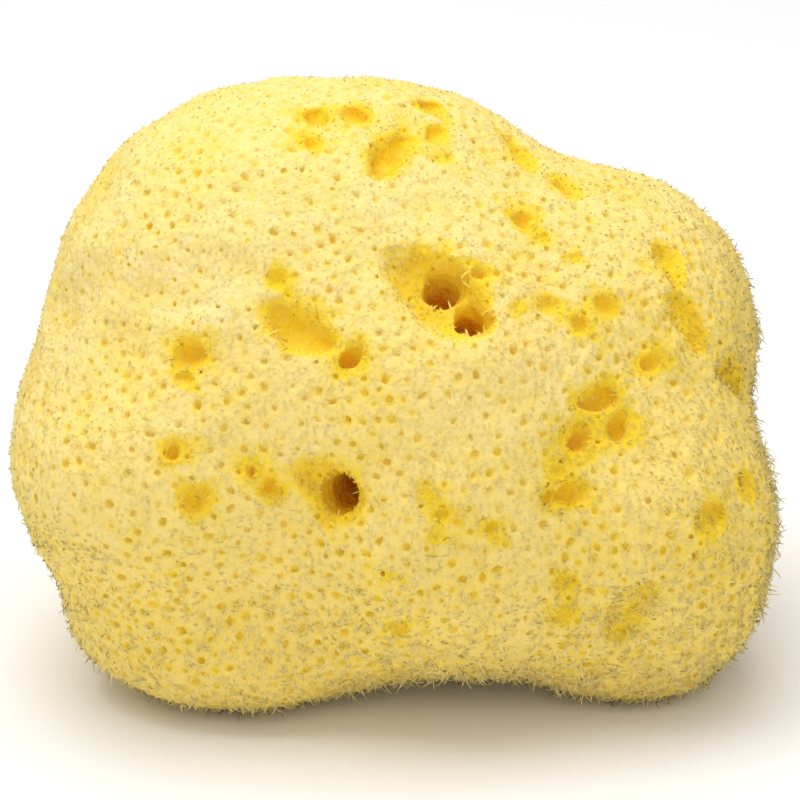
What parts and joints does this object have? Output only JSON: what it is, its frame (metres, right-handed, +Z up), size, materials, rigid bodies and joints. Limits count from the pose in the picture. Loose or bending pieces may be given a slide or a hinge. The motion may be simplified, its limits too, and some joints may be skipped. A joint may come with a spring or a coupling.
{
  "type": "sea sponge",
  "caption": "Natural bath sponge: a pale golden dome of soft fused lobes with deep outlet holes, slots and creases, resting on flat feet.",
  "frame": {"origin": "middle of the footprint box, level with the flat feet", "axes": "+X to the right along the widest way, +Y to the back, +Z up"},
  "size_m": [0.1306, 0.0978, 0.0996],
  "materials": {
    "spongin": "bleached pale golden spongin fibre, soft, matt and finely porous, deeper amber inside the holes"
  },
  "bodies": {
    "root": {"sponge": "spongin"}
  },
  "joints": []
}
